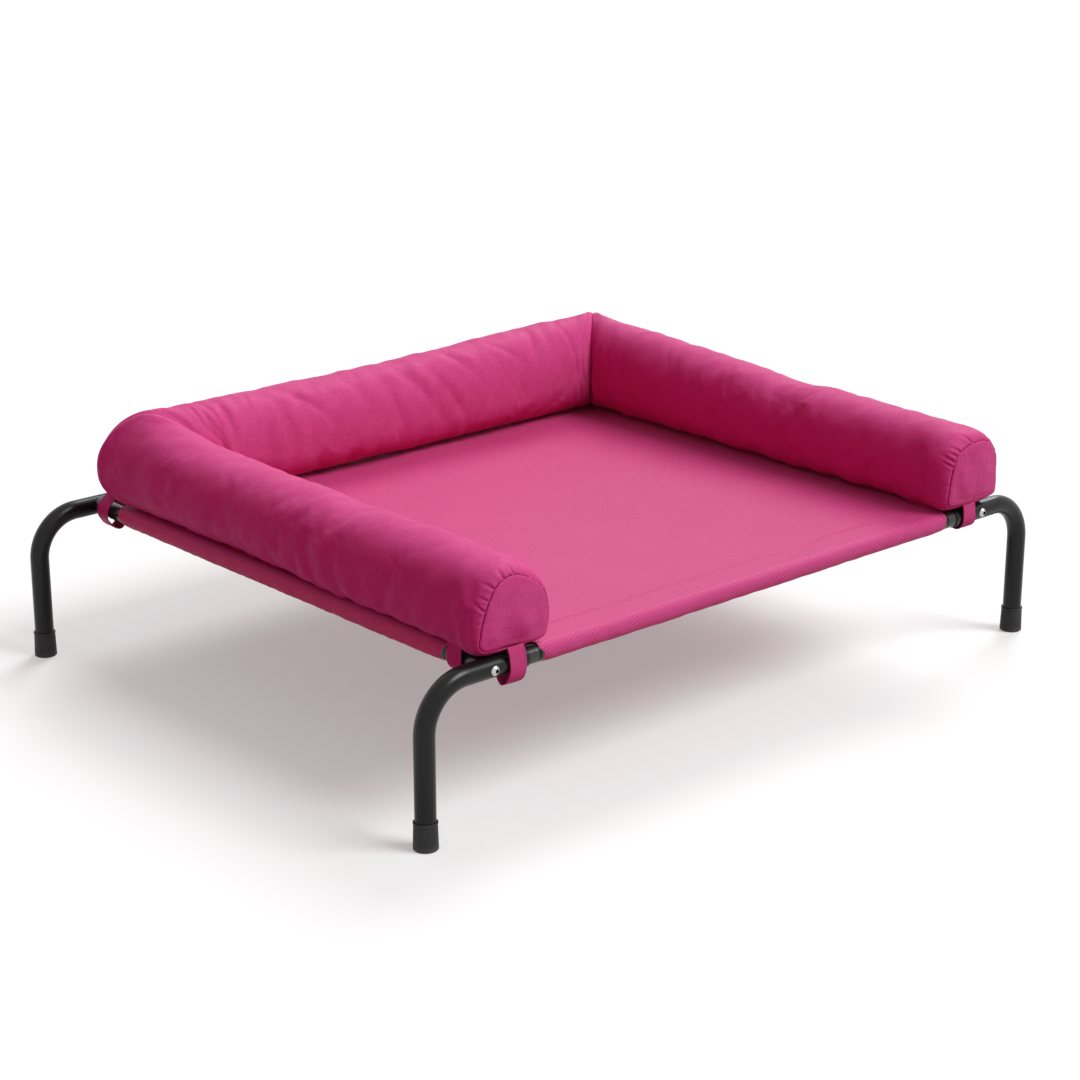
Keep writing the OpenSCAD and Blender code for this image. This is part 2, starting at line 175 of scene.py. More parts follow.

# Corner bolts and their nuts
# Zinc plated steel: a button head with a hex socket outside, a long nut pressed into the end rail inside.
# The plating is bright, with duller spots, and the socket in the head is painted near black as shade.
RAIL_X, RAIL_Z = 430 * mm, 193 * mm
zinc, tree, shader = new_finish("bright_zinc")
skin = used(tree, grain_tree, {"Grains": 2500.0, "Patches": 260.0})
spot = place(tree, "ShaderNodeSeparateXYZ", {"Vector": place(tree, "ShaderNodeTexCoord").outputs["Object"]})
aside = math_node(tree, "SUBTRACT", math_node(tree, "ABSOLUTE", spot.outputs["X"]), RAIL_X)
above = math_node(tree, "SUBTRACT", spot.outputs["Z"], RAIL_Z)
squares = [math_node(tree, "POWER", way, 2.0) for way in (aside, above)]
off_axis = math_node(tree, "SQRT", math_node(tree, "ADD", *squares))
plating = mixed(tree, skin["Patch"], (0.40, 0.40, 0.39), (0.62, 0.62, 0.61))
dress(shader, tree, {
    # Painted shade: the plating goes near black within 2.3 to 2.6 mm of each bolt's axis, in the socket.
    "Base Color": mixed(tree, ranged(tree, off_axis, 0.0, 1.0, 2.3 * mm, 2.6 * mm), (0.02, 0.02, 0.02), plating),
    "Roughness": ranged(tree, skin["Patch"], 0.16, 0.36, 0.3, 0.7),
    "Normal": relief(tree, skin["Grain"], 0.02 * mm),
}, {"Metallic": 1.0})
wear_finish(zinc, [f"{c}_{part}" for c in CORNERS for part in ("bolt", "nut")])

# Mesh deck
# One sheet of coarse open-weave mesh, vinyl coated polyester, drawn taut between the four rails.
# Its corners are cut out round the legs, and it dips a little in the middle.
RAIL_Y = 404 * mm
SLEEVE_R = 12.7 * mm
DECK_TOP = RAIL_Z + SLEEVE_R
MESH_THICK = 1.2 * mm
SEAM_IN, SEAM_OUT = 32 * mm, 40 * mm

weave_tree, asked, put = new_group(
    "Woven threads", {"Place": (0.0, 0.0, 0.0), "Warp": 330.0, "Weft": 500.0}, ["Height", "Side"]
)
along = place(weave_tree, "ShaderNodeSeparateXYZ", {"Vector": asked.outputs["Place"]})
crown, cell = [], []
for axis, count in (("X", "Warp"), ("Y", "Weft")):
    thread = math_node(weave_tree, "MULTIPLY", along.outputs[axis], asked.outputs[count])
    cell.append(math_node(weave_tree, "FLOOR", thread))
    turn = math_node(weave_tree, "MULTIPLY", math_node(weave_tree, "FRACT", thread), math.pi)
    crown.append(math_node(weave_tree, "SINE", turn))
side = math_node(weave_tree, "FLOORED_MODULO", math_node(weave_tree, "ADD", *cell), 2.0)
over = []
for top, under in (crown, crown[::-1]):
    lift = math_node(weave_tree, "MULTIPLY_ADD", under, 0.45, 0.55)
    over.append(math_node(weave_tree, "MULTIPLY", top, lift))
pick = place(weave_tree, "ShaderNodeMix", {0: side, 2: over[0], 3: over[1]}, data_type="FLOAT")
weave_tree.links.new(pick.outputs[0], put.inputs["Height"])
weave_tree.links.new(side, put.inputs["Side"])

tone_tree, asked, put = new_group("Dye tone", {"Cloud": 9.0, "Slub": 120.0}, ["Tone"])
spot = place(tone_tree, "ShaderNodeTexCoord").outputs["Object"]
total = -0.12
for wanted, detail, weight in (("Cloud", 3.0, 0.65), ("Slub", 2.0, 0.55)):
    spots = noise(tone_tree, spot, asked.outputs[wanted], detail)
    total = math_node(tone_tree, "MULTIPLY_ADD", spots, weight, total)
tone_tree.links.new(total, put.inputs["Tone"])

# Painted light and shade: cloth facing the lamps keeps its paler colour, and cloth turned away from them is deepened
# by a tint.
shade_group, asked, put = new_group("Painted light and shade", {"Depth": 1.0}, ["Unbleached"])
shade_amount = place(shade_group, "ShaderNodeAttribute", attribute_name="painted_shade_share").outputs["Fac"]
shade_group.links.new(math_node(shade_group, "MULTIPLY", shade_amount, asked.outputs["Depth"]), put.inputs["Unbleached"])


def apply_painted_shade(tree, colour, shade_tint):
    """Deepens a colour by a tint, as painted shade where the cloth faces away from the light."""
    shade_amount = used(tree, shade_group)["Unbleached"]
    inputs = {0: shade_amount, 6: colour, 7: (*shade_tint, 1.0)}
    return place(tree, "ShaderNodeMix", inputs, data_type="RGBA", blend_type="MULTIPLY").outputs[2]


def bleach(piece):
    """Notes at each point how far it faces away from the light above and in front: the share of painted shade there.
    """
    normals = np.empty(3 * len(piece.data.vertices), np.float32)
    piece.data.vertex_normals.foreach_get("vector", normals)
    facing = normals.reshape(-1, 3) @ np.array([0.45, -0.45, 0.77], np.float32)
    shade_amount = np.clip((0.45 - facing) / 0.55, 0, 1)
    piece.data.attributes.new("painted_shade_share", "FLOAT", "POINT").data.foreach_set("value", shade_amount)


mesh_cloth, tree, shader = new_finish("deck_mesh")
uv = place(tree, "ShaderNodeTexCoord").outputs["UV"]
weave = used(tree, weave_tree, {"Place": uv, "Warp": 370.0, "Weft": 560.0})
thread = mixed(tree, used(tree, tone_tree)["Tone"], (0.53, 0.026, 0.154), (0.65, 0.046, 0.218))
# Painted highlight: every other thread crossing is paler, standing for the gloss on the raised ribs.
painted_rib_highlight = mixed(tree, weave["Side"], thread, (0.78, 0.098, 0.328))
colour = mixed(tree, ranged(tree, weave["Height"], 0.0, 1.0, 0.05, 0.55), (0.29, 0.015, 0.085), painted_rib_highlight)
# The mesh's colour is deepened by the last tint where it faces away from the light: painted shade.
dress(shader, tree, {
    "Base Color": apply_painted_shade(tree, colour, (0.98, 0.28, 0.62)),
    "Roughness": ranged(tree, weave["Height"], 0.62, 0.42),
    "Normal": relief(tree, weave["Height"], 0.35 * mm),
}, {"Specular IOR Level": 0.2})


def new_piece(name, points, faces, corner_uv, finish):
    """A mesh piece from its points, faces and the UV of every face corner."""
    mesh = bpy.data.meshes.new(name)
    mesh.from_pydata([tuple(p) for p in points], [], [tuple(f) for f in faces])
    layer = mesh.uv_layers.new(name="UVMap")
    layer.data.foreach_set("uv", np.asarray(corner_uv, np.float32).ravel())
    mesh.materials.append(finish)
    piece = bpy.data.objects.new(name, mesh)
    bpy.context.scene.collection.objects.link(piece)
    return piece


def act_on(piece):
    bpy.ops.object.select_all(action="DESELECT")
    piece.select_set(True)
    bpy.context.view_layer.objects.active = piece


def thicken(piece, depth):
    """Gives a sheet its thickness, on the side away from its normals."""
    act_on(piece)
    wall = piece.modifiers.new("wall", "SOLIDIFY")
    wall.thickness = depth
    wall.offset = -1.0
    bpy.ops.object.modifier_apply(modifier=wall.name)


def soften(piece, degrees=45.0):
    act_on(piece)
    bpy.ops.object.shade_smooth_by_angle(angle=math.radians(degrees))
    piece.select_set(False)


def waves(a, b, seed, length, count=7):
    """A smooth random field over two distances, about -1 to 1, with swells of about that length."""
    draw = np.random.default_rng(seed)
    field = np.zeros(np.broadcast(a, b).shape)
    for _ in range(count):
        heading, start = draw.uniform(0, 2 * math.pi, 2)
        pace = 2 * math.pi / (length * draw.uniform(0.6, 1.6))
        field = field + np.cos(pace * (a * math.cos(heading) + b * math.sin(heading)) + start)
    return field / math.sqrt(count)


def spaced(stops, steps):
    """Places along a line through the stops, each stretch cut into about equal steps."""
    places = [np.array([stops[0]])]
    for low, high in zip(stops[:-1], stops[1:]):
        places.append(np.linspace(low, high, max(1, round((high - low) / steps)) + 1)[1:])
    return np.concatenate(places)


def bell(t):
    return np.exp(-(t ** 2))


def deck_height(x, y):
    """The sheet's top: a small dip in the middle, faint ripples, and a dent under each row of stitches."""
    open_x = np.clip(1 - (x / RAIL_X) ** 2, 0, 1)
    open_y = np.clip(1 - (y / RAIL_Y) ** 2, 0, 1)
    ripple = 0.5 * mm * waves(x, y, 3, 160 * mm) * np.sqrt(open_x * open_y)
    z = DECK_TOP - 5.0 * mm * open_x * open_y + ripple
    for inset in (SEAM_IN + 1.5 * mm, SEAM_OUT - 1.5 * mm):
        for gap in (np.abs(RAIL_X - np.abs(x)) - inset, np.abs(RAIL_Y - np.abs(y)) - inset):
            z = z - 0.35 * mm * bell(gap / (1.6 * mm))
    return z


def seam_stops(rail, edge):
    """Grid lines across the deck: close together at the stitched hems, and one at the corner cut-outs."""
    offsets = [0, 28, 31, 32.5, 33.5, 34.5, 36, 37.5, 38.5, 39.5, 41, 44]
    half = sorted({round(rail - o * mm, 5) for o in offsets} | {round(edge, 5)})
    return sorted({-h for h in half} | set(half))


xs = spaced(seam_stops(RAIL_X, LONG_HEM / 2), 9 * mm)
ys = spaced(seam_stops(RAIL_Y, END_HEM / 2), 9 * mm)
grid_x, grid_y = np.meshgrid(xs, ys, indexing="ij")
beyond = np.clip((np.abs(grid_x) - 345 * mm) / (15 * mm), 0, 1) * (np.abs(grid_x) <= LONG_HEM / 2 + 1e-6)
slant = np.clip((RAIL_Y - np.abs(grid_y)) / (38 * mm), 0, 1)
slant = slant * np.clip((np.abs(grid_y) - END_HEM / 2) / (25 * mm) + 1, 0, 1)
points = np.stack([
    grid_x + np.sign(grid_x) * 12 * mm * beyond * slant, grid_y, deck_height(grid_x, grid_y),
], axis=-1).reshape(-1, 3)
faces = []
for i in range(len(xs) - 1):
    for j in range(len(ys) - 1):
        middle_x, middle_y = abs(xs[i] + xs[i + 1]) / 2, abs(ys[j] + ys[j + 1]) / 2
        if middle_x < LONG_HEM / 2 or middle_y < END_HEM / 2:
            first = i * len(ys) + j
            faces.append((first, first + len(ys), first + len(ys) + 1, first + 1))
kept = np.unique(np.array(faces))
renumber = np.zeros(len(points), int)
renumber[kept] = np.arange(len(kept))
faces = renumber[np.array(faces)]
points = points[kept]
deck = new_piece("deck_sheet", points, faces, points[faces.ravel()][:, :2], mesh_cloth)
thicken(deck, MESH_THICK)
soften(deck)
bleach(deck)
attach(deck, "frame")
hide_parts("mesh_deck")

# Hem sleeves
# The sheet's four edges, turned under round the rails and sewn to its underside with two rows of stitches.
# Each sleeve is open at its ends, where the rail comes out.
ROUND_POINTS = 34
outside = np.radians(np.linspace(90, 310, ROUND_POINTS))
profile = [np.stack([SLEEVE_R * np.cos(outside), SLEEVE_R * np.sin(outside)], axis=-1)]
flap = np.array([[SEAM_IN, SLEEVE_R - 2 * MESH_THICK], [SEAM_OUT, SLEEVE_R - 2 * MESH_THICK]])
profile.append(np.linspace(profile[0][-1], flap[0], 9)[1:])
profile.append(np.linspace(flap[0], flap[1], 4)[1:])
profile = np.concatenate(profile)


def run_along(line):
    """How far each point of a line is from its start, along the line."""
    return np.concatenate([[0], np.cumsum(np.linalg.norm(np.diff(line, axis=0), axis=1))])


arc = run_along(profile)
outward = np.stack([np.gradient(profile[:, 1]), -np.gradient(profile[:, 0])], axis=-1)
outward = -outward / np.linalg.norm(outward, axis=1, keepdims=True)


def grid_faces(rows, columns, around=False):
    """Faces of a grid of points; around joins the last column to the first."""
    i, j = np.meshgrid(np.arange(rows - 1), np.arange(columns if around else columns - 1), indexing="ij")
    after = (j + 1) % columns
    corners = (i * columns + j, i * columns + after, (i + 1) * columns + after, (i + 1) * columns + j)
    return np.stack(corners, axis=-1).reshape(-1, 4)


def sleeve(name, node, length, rail, seed, across):
    """A hem along X or, with across, along Y; rail is its rail's place, which also says the side."""
    side = math.copysign(1, rail)
    run = spaced([-length / 2, -length / 2 + 12 * mm, length / 2 - 12 * mm, length / 2], 5 * mm)
    run_grid, arc_grid = np.meshgrid(run, arc, indexing="ij")
    to_end = (length / 2 - np.abs(run_grid)) / (9 * mm)
    loose = np.sin(np.clip(arc_grid / arc[ROUND_POINTS - 1], 0, 1) * math.pi)
    puff = 0.30 * mm * waves(run_grid, arc_grid, seed, 60 * mm)
    puff = puff + 0.25 * mm * waves(run_grid, arc_grid, seed + 1, 22 * mm)
    puff = (puff + 2.2 * mm * np.exp(-to_end)) * loose + 0.15 * mm * loose
    u = profile[None, :, 0] + puff * outward[None, :, 0]
    v = profile[None, :, 1] + puff * outward[None, :, 1]
    inward = rail - side * u
    height = RAIL_Z + v
    beyond = rail + side * arc_grid
    if across:
        points, uv = np.stack([inward, run_grid, height], axis=-1), np.stack([beyond, run_grid], axis=-1)
    else:
        points, uv = np.stack([run_grid, inward, height], axis=-1), np.stack([run_grid, beyond], axis=-1)
    faces = grid_faces(*run_grid.shape)
    if (side > 0) != across:
        faces = faces[:, ::-1]
    hem = new_piece(name, points.reshape(-1, 3), faces, uv.reshape(-1, 2)[faces.ravel()], mesh_cloth)
    thicken(hem, MESH_THICK)
    soften(hem)
    bleach(hem)
    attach(hem, "frame")
    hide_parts(node)
    return hem


for name, node, length, rail, seed, across, around in (
    ("front_hem_sleeve", "front_hem", LONG_HEM, -RAIL_Y, 11, False, "front_rail"),
    ("back_hem_sleeve", "back_hem", LONG_HEM, RAIL_Y, 13, False, "back_rail"),
    ("left_hem_sleeve", "left_hem", END_HEM, -RAIL_X, 15, True, "left_end_rail"),
    ("right_hem_sleeve", "right_hem", END_HEM, RAIL_X, 17, True, "right_end_rail"),
):
    hem = sleeve(name, node, length, rail, seed, across)

# Hem stitches
# Two rows of bonded polyester thread along each hem, through the deck and the turned-under edge.
# The thread is a shade paler than the mesh.
sewing, tree, shader = new_finish("sewing_thread")
skin = used(tree, grain_tree, {"Grains": 2600.0, "Patches": 90.0})
dress(shader, tree, {
    "Base Color": mixed(tree, skin["Patch"], (0.60, 0.030, 0.170), (0.80, 0.085, 0.290)),
    "Normal": relief(tree, skin["Grain"], 0.10 * mm),
}, {"Roughness": 0.55, "Specular IOR Level": 0.3})


def sew(name, centres, along, up, size, body):
    """One piece of many stitches, each a copy of the same rounded bar of [length, width, height]."""
    bpy.ops.mesh.primitive_uv_sphere_add(segments=6, ring_count=4, radius=0.5)
    bar = bpy.context.object
    shape = np.array([v.co for v in bar.data.vertices])
    sides = np.array([len(p.vertices) for p in bar.data.polygons])
    corners = [np.array(p.vertices) for p in bar.data.polygons]
    bpy.data.objects.remove(bar)
    axes = (along, np.cross(up, along), up)
    points = centres[:, None] + sum(size[k] * shape[None, :, k:k + 1] * axes[k][:, None] for k in range(3))
    faces = [tuple(k * len(shape) + c) for k in range(len(centres)) for c in corners]
    piece = new_piece(name, points.reshape(-1, 3), faces, np.zeros((len(centres) * sides.sum(), 2)), sewing)
    soften(piece, 80)
    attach(piece, body)


places, headings = [], []
for inset in (SEAM_IN + 1.5 * mm, SEAM_OUT - 1.5 * mm):
    for length, rail, across in ((LONG_HEM, RAIL_Y, False), (END_HEM, RAIL_X, True)):
        run = np.arange(-length / 2 + 3 * mm, length / 2 - 3 * mm, 4.6 * mm)
        for side in (-1, 1):
            over = np.full_like(run, side * (rail - inset))
            flat = np.stack([over, run] if across else [run, over], axis=-1)
            places.append(np.column_stack([flat, deck_height(flat[:, 0], flat[:, 1]) + 0.15 * mm]))
            headings.append(np.tile([0.0, 1.0, 0.0] if across else [1.0, 0.0, 0.0], (len(run), 1)))
places, headings = np.concatenate(places), np.concatenate(headings)
ups = np.tile([0.0, 0.0, 1.0], (len(places), 1))
sew("hem_stitches", places, headings, ups, (3.5 * mm, 0.8 * mm, 0.8 * mm), "frame")

# Bolster covers
# Three tubes of plain-woven canvas, mitred and sewn into a U, and stuffed full with fibre.
# The front ends are gathered to a smaller panel, and the roll slumps where it rests on the deck.
ARM_X, BACK_Y, FRONT_Y = 400 * mm, 316 * mm, -411 * mm
REST_Z = 206.1 * mm
WIDTH = 112 * mm
ARM_RUN, BACK_RUN = BACK_Y - FRONT_Y, 2 * ARM_X
FULL_RUN = 2 * ARM_RUN + BACK_RUN
TURN = 120 * mm
CORNER_POWER = 13
track = np.arange(0, FULL_RUN + 2 * mm, 2 * mm)


def eased(stops, ease=16 * mm):
    """Values along the whole roll, smoothed through stops of (place in millimetres, value)."""
    raw = np.interp(track, [s * mm for s, _ in stops], [v for _, v in stops])
    reach = int(3 * ease / (2 * mm))
    weights = np.exp(-0.5 * (np.arange(-reach, reach + 1) * 2 * mm / ease) ** 2)
    return np.convolve(np.pad(raw, reach, mode="edge"), weights / weights.sum(), "valid")


crown_track = eased([
    (0, 105), (100, 106.5), (300, 106), (420, 106), (520, 107), (600, 110), (660, 117), (705, 126), (727, 129),
    (760, 128), (836, 126.3), (900, 125.6), (1040, 125), (1120, 126.2), (1210, 127.7), (1256, 129), (1302, 132),
    (1396, 134), (1493, 134.8), (1527, 136.5), (1545, 135), (1587, 130.6), (1639, 128.2), (1690, 124.5), (1740, 122),
    (1788, 119.2), (1836, 117), (1883, 113.4), (1930, 110.4), (1975, 110.8), (2063, 109.4), (2120, 108), (2254, 107),
]) * mm
width_track = WIDTH + 1.0 * mm * waves(track, 0 * track, 22, 240 * mm)
belly_track = eased([(0, 40), (300, 44), (600, 50), (727, 54), (1527, 54), (1700, 48), (2254, 42)]) * mm
low_track = eased([
    (0, 3.5), (196, 3.05), (275, 2.8), (350, 2.4), (430, 2.15), (510, 2.15), (590, 2.3), (727, 2.4), (1527, 2.4),
    (1800, 2.6), (2000, 2.9), (2254, 3.4),
])
high_track = eased([
    (0, 2.25), (600, 2.2), (690, 1.85), (727, 1.7), (770, 1.9), (850, 2.2), (1430, 2.2), (1500, 1.9), (1527, 1.75),
    (1560, 1.9), (1640, 2.2), (2254, 2.3),
])


def half_section(width, height, belly, low, high, count, settle=1.015):
    """Points from the middle of the base up the outer side to the crown, evenly spaced."""
    turn = np.linspace(-math.pi / 2, math.pi / 2, 241)
    power = np.where(turn < 0, low, high)
    out = width / 2 * np.abs(np.cos(turn)) ** (2 / power)
    reach = np.where(turn < 0, belly * settle, height - belly)
    up = np.maximum(0, belly + reach * np.sign(np.sin(turn)) * np.abs(np.sin(turn)) ** (2 / power))
    run = np.concatenate([[0], np.cumsum(np.hypot(np.diff(out), np.diff(up)))])
    even = np.linspace(0, run[-1], count // 2 + 1)
    return np.stack([np.interp(even, run, out), np.interp(even, run, up)], axis=-1)


def whole_section(half):
    """Both sides of a section, round from the middle of the base by way of the outer side."""
    inner = half[-2:0:-1] * [-1, 1]
    return np.concatenate([half, inner])


LEFT_PANEL = [
    (-2, 8.5), (16, 9), (36, 9.8), (45, 12), (49.5, 19), (47.5, 30), (44.5, 42), (40, 56), (34, 68), (27, 79),
    (19, 86), (10, 90), (-5, 91), (-26, 82), (-43, 68), (-51, 49), (-52.5, 26), (-48, 11), (-38, 7), (-18, 7.5),
]
RIGHT_PANEL = [
    (0, 8), (20, 8.5), (40, 9), (50, 12), (52.5, 22), (51.5, 40), (49, 58), (43.5, 73), (34, 83), (20, 89), (0, 90),
    (-15, 86), (-28, 79), (-36, 66), (-41, 50), (-45, 30), (-46.5, 16), (-41, 9.5), (-20, 8),
]


def curve(a, b, c, d, t):
    """A smooth stretch from b to c, where a comes before and d after them."""
    return 0.5 * (2 * b + (c - a) * t + (2 * a - 5 * b + 4 * c - d) * t ** 2 + (3 * b - a - 3 * c + d) * t ** 3)


def panel_loop(side, count):
    """The seam of an end panel, [outward, up]: a loaf, flat at its base and round over the top."""
    stops = np.array(LEFT_PANEL if side < 0 else RIGHT_PANEL) * mm
    four = [np.roll(stops, k, axis=0) for k in (1, 0, -1, -2)]
    line = curve(*four, np.linspace(0, 1, 13)[:-1, None, None]).transpose(1, 0, 2).reshape(-1, 2)
    line = np.concatenate([line, line[:1]])
    run = run_along(line)
    even = np.arange(count) / count * run[-1]
    return np.stack([np.interp(even, run, line[:, 0]), np.interp(even, run, line[:, 1])], axis=-1)


LIP_RUN = np.array([0, 0.5, 1.0, 1.5, 2.1, 2.8, 3.6, 5, 8, 14, 24, 40, 60]) * mm
LIP_OUT = np.array([-2.0, -1.0, 0.1, 1.0, 1.9, 2.6, 3.0, 3.4, 3.4, 2.7, 1.4, 0.3, 0]) * mm
LIP_BACK = np.array([2.0, 0.4, -1.1, -1.75, -1.8, -1.6, -1.4, -1.2, -0.8, -0.4, -0.1, 0, 0]) * mm
PANEL_MIDDLE = 48 * mm


def mitre_lean(gone):
    """How far a section is turned into the mitre, 1 at the seam and 0 a turn's length away."""
    return max(0.0, 1 - gone / TURN) ** 1.25


def loft(stations, count):
    """The roll's surface as it is cut and sewn, a ring of points at each station along it."""
    share = np.arange(count) / count
    over_top = np.sin(math.pi * share) ** 2
    draw = (20 + 30 * over_top) * mm
    rings = np.zeros((len(stations), count, 3))
    for r, s in enumerate(stations):
        size = [np.interp(s, track, t) for t in (width_track, crown_track, belly_track, low_track, high_track)]
        loop = whole_section(half_section(*size, count))
        for side, gone in ((-1, s), (1, FULL_RUN - s)):
            if gone < LIP_RUN[-1]:
                seam = panel_loop(side, count)
                full = 1 - (1 - np.clip(gone / draw, 0, 1)) ** 2.1
                loop = seam + (loop - seam) * full[:, None]
                away = loop - [0, PANEL_MIDDLE]
                away = away / np.linalg.norm(away, axis=1, keepdims=True)
                lip = np.interp(gone, LIP_RUN, LIP_OUT)
                if lip > 0:
                    lip = lip * (0.5 + 0.5 * over_top)
                else:
                    lip = lip * (1 - 0.6 * np.clip(0.5 + 0.9 * side * away[:, 0], 0, 1))
                loop = loop + away * lip[:, None]
                s = s - side * np.interp(gone, LIP_RUN, LIP_BACK)
        out, up = loop[:, 0], loop[:, 1]
        if s <= ARM_RUN:
            x, y = -ARM_X - out, FRONT_Y + s + mitre_lean(ARM_RUN - s) * out
        elif s <= ARM_RUN + BACK_RUN:
            t = s - ARM_RUN
            lean = mitre_lean(BACK_RUN - t) - mitre_lean(t)
            x, y = -ARM_X + t + lean * out, BACK_Y + out
        else:
            t = s - ARM_RUN - BACK_RUN
            x, y = ARM_X + out, BACK_Y - t * (1 + 6 * mm / ARM_RUN) + mitre_lean(t) * out
        a = np.abs(x) - (ARM_X - WIDTH / 2)
        b = y - (BACK_Y - WIDTH / 2)
        corner = (a > 0) & (b > 0)
        a, b = np.maximum(a, 1e-6), np.maximum(b, 1e-6)
        rounded = (a ** CORNER_POWER + b ** CORNER_POWER) ** (1 / CORNER_POWER)
        squeeze = np.where(corner, np.maximum(a, b) / rounded, 1.0)
        x = np.where(corner, np.sign(x) * (ARM_X - WIDTH / 2 + squeeze * a), x)
        y = np.where(corner, BACK_Y - WIDTH / 2 + squeeze * b, y)
        rings[r] = np.stack([x, y, REST_Z + np.maximum(up, 0)], axis=-1)
    return rings


def ring_normals(rings):
    """Outward directions over a grid of rings."""
    round_it = np.roll(rings, -1, axis=1) - np.roll(rings, 1, axis=1)
    along = np.gradient(rings, axis=0)
    normal = np.cross(along, round_it)
    normal = normal / np.maximum(np.linalg.norm(normal, axis=2, keepdims=True), 1e-12)
    middle = rings.mean(axis=1, keepdims=True)
    return normal * np.sign((normal * (rings - middle)).sum(axis=(1, 2), keepdims=True))


def merged(*runs):
    """The places of several runs in order, each of them once."""
    return np.unique(np.round(np.concatenate(runs), 6))


AROUND = 288
left_rows = merged(
    LIP_RUN[:8], spaced([5 * mm, 32 * mm], 1.2 * mm), spaced([32 * mm, ARM_RUN - 60 * mm], 3.0 * mm),
    spaced([ARM_RUN - 60 * mm, ARM_RUN - 8 * mm], 2.0 * mm), spaced([ARM_RUN - 8 * mm, ARM_RUN], 0.8 * mm),
)
half_back = merged(
    spaced([0, 8 * mm], 0.8 * mm), spaced([8 * mm, 60 * mm], 2.2 * mm), spaced([60 * mm, BACK_RUN / 2], 3.2 * mm),
)
back_rows = merged(half_back, BACK_RUN - half_back)
stations = np.concatenate([
    left_rows, ARM_RUN + back_rows[1:], ARM_RUN + BACK_RUN + (ARM_RUN - left_rows)[::-1][1:],
])
mitre_rows = [len(left_rows) - 1, len(left_rows) + len(back_rows) - 2]
roll = loft(stations, AROUND)


def inflate(rings, held, frames=20, cap=6 * mm):
    """How far the cloth of a closed roll moves when it is stuffed, held where it is sewn and where it lies."""
    rows, columns = rings.shape[:2]
    points = np.concatenate([rings.reshape(-1, 3), rings[:1].mean(axis=1), rings[-1:].mean(axis=1)])
    faces = grid_faces(rows, columns, around=True).tolist()
    for row, tip in ((0, rows * columns), (rows - 1, rows * columns + 1)):
        for k in range(columns):
            edge = (tip, row * columns + k, row * columns + (k + 1) % columns)
            faces.append(edge if row else edge[::-1])
    mesh = bpy.data.meshes.new("stuffing_trial")
    mesh.from_pydata([tuple(p) for p in points], [], faces)
    trial = bpy.data.objects.new("stuffing_trial", mesh)
    bpy.context.scene.collection.objects.link(trial)
    sewn = trial.vertex_groups.new(name="sewn")
    sewn.add(np.nonzero(held.ravel())[0].tolist() + [rows * columns, rows * columns + 1], 1.0, "REPLACE")
    cloth = trial.modifiers.new("stuffing", "CLOTH")
    for setting, value in {
        "quality": 5, "mass": 0.3, "tension_stiffness": 14, "compression_stiffness": 14, "shear_stiffness": 6,
        "bending_stiffness": 0.4, "use_pressure": True, "uniform_pressure_force": 12, "shrink_min": -0.04,
        "vertex_group_mass": "sewn",
    }.items():
        setattr(cloth.settings, setting, value)
    cloth.settings.effector_weights.gravity = 0
    cloth.collision_settings.use_collision = False
    cloth.point_cache.frame_start, cloth.point_cache.frame_end = 1, frames
    for step in range(1, frames + 1):
        bpy.context.scene.frame_set(step)
    shaped = trial.evaluated_get(bpy.context.evaluated_depsgraph_get()).to_mesh()
    moved = np.empty(len(points) * 3, np.float32)
    shaped.vertices.foreach_get("co", moved)
    bpy.data.objects.remove(trial)
    bpy.context.scene.frame_set(1)
    shift = (moved.reshape(-1, 3)[:rows * columns] - points[:rows * columns]).reshape(rings.shape)
    far = np.linalg.norm(shift, axis=2, keepdims=True)
    return shift * np.minimum(1, cap / np.maximum(far, 1e-9))


coarse_places = merged(
    spaced([0, ARM_RUN], 9 * mm), ARM_RUN + spaced([0, BACK_RUN], 9 * mm),
    ARM_RUN + BACK_RUN + spaced([0, ARM_RUN], 9 * mm),
)
ROUND = 44
slim = loft(coarse_places, ROUND)
sewn_gap = np.min([np.abs(coarse_places - s) for s in (0, ARM_RUN, ARM_RUN + BACK_RUN, FULL_RUN)], axis=0)
turn = np.arange(ROUND) / ROUND
lifted = np.clip((np.minimum(turn, 1 - turn) - 0.08) / 0.1, 0, 1)
inset = 3 * mm * np.clip(sewn_gap / (40 * mm), 0, 1)[:, None] * lifted[None, :]
slim = slim - ring_normals(slim) * inset[..., None]
outs = ring_normals(slim)
held = (sewn_gap[:, None] < 1 * mm) | (lifted[None, :] == 0)
swell = (inflate(slim, held) * outs).sum(axis=2) - inset
broad = np.stack([np.convolve(np.pad(c, 9, mode="edge"), np.ones(19) / 19, "valid") for c in swell.T], axis=1)
DEEPEST = 3.2 * mm
folds = DEEPEST * np.tanh(0.8 * (swell - broad) / DEEPEST)
folds = folds * np.clip(sewn_gap / (15 * mm), 0, 1)[:, None]
shift = folds[..., None] * outs
by_row = np.stack([
    [np.interp(stations, coarse_places, shift[:, j, k]) for j in range(ROUND)] for k in range(3)
], axis=-1).transpose(1, 0, 2)
wrapped = np.concatenate([by_row, by_row[:, :1]], axis=1)
fine_turn, coarse_turn = np.arange(AROUND) / AROUND, np.arange(ROUND + 1) / ROUND
fine = np.stack([
    [np.interp(fine_turn, coarse_turn, wrapped[r, :, k]) for r in range(len(stations))] for k in range(3)
], axis=-1)
for _ in range(3):
    fine = 0.5 * fine + 0.25 * (np.roll(fine, 1, axis=1) + np.roll(fine, -1, axis=1))
    fine[1:-1] = 0.5 * fine[1:-1] + 0.25 * (fine[:-2] + fine[2:])
roll = roll + fine
normals = ring_normals(roll)
steps = np.linalg.norm(np.diff(np.concatenate([roll, roll[:, :1]], axis=1), axis=1), axis=2)
girth = np.concatenate([np.zeros((len(stations), 1)), np.cumsum(steps, axis=1)], axis=1)
